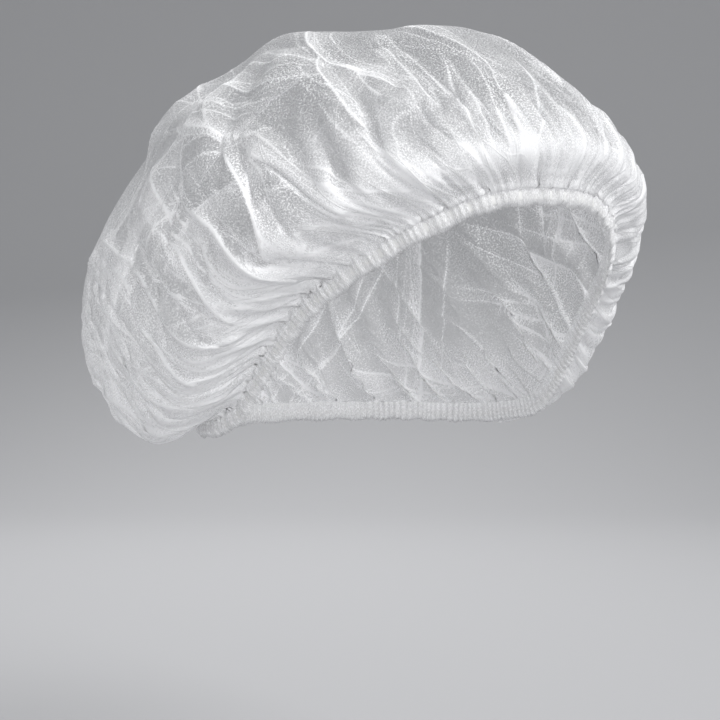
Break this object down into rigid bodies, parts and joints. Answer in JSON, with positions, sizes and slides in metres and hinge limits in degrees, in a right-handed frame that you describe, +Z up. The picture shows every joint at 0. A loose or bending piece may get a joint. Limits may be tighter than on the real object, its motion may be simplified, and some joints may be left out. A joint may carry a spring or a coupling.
{
  "type": "disposable hair cover cap",
  "caption": "Round bouffant hair cover of thin sheer nonwoven cloth, gathered by an elastic in a narrow ruffled hem and shown in its worn, puffed shape with a low back pouch",
  "frame": {"origin": "the middle of the head opening, halfway between its two sides and near the mean height of its edge", "axes": "+Z up out of the top of the head, -Y the way the wearer faces, +X the wearer's left"},
  "size_m": [0.2296, 0.2757, 0.1756],
  "materials": {
    "sheer_nonwoven": "thin white sheer spunbond nonwoven, matt, with what is behind it showing through",
    "doubled_nonwoven": "the same nonwoven folded double, so whiter and less sheer, finely ruffled",
    "elastic_band": "matt off-white elastic"
  },
  "bodies": {
    "root": {"crown": "sheer_nonwoven", "gathered_hem": "doubled_nonwoven", "elastic": "elastic_band"}
  },
  "joints": []
}
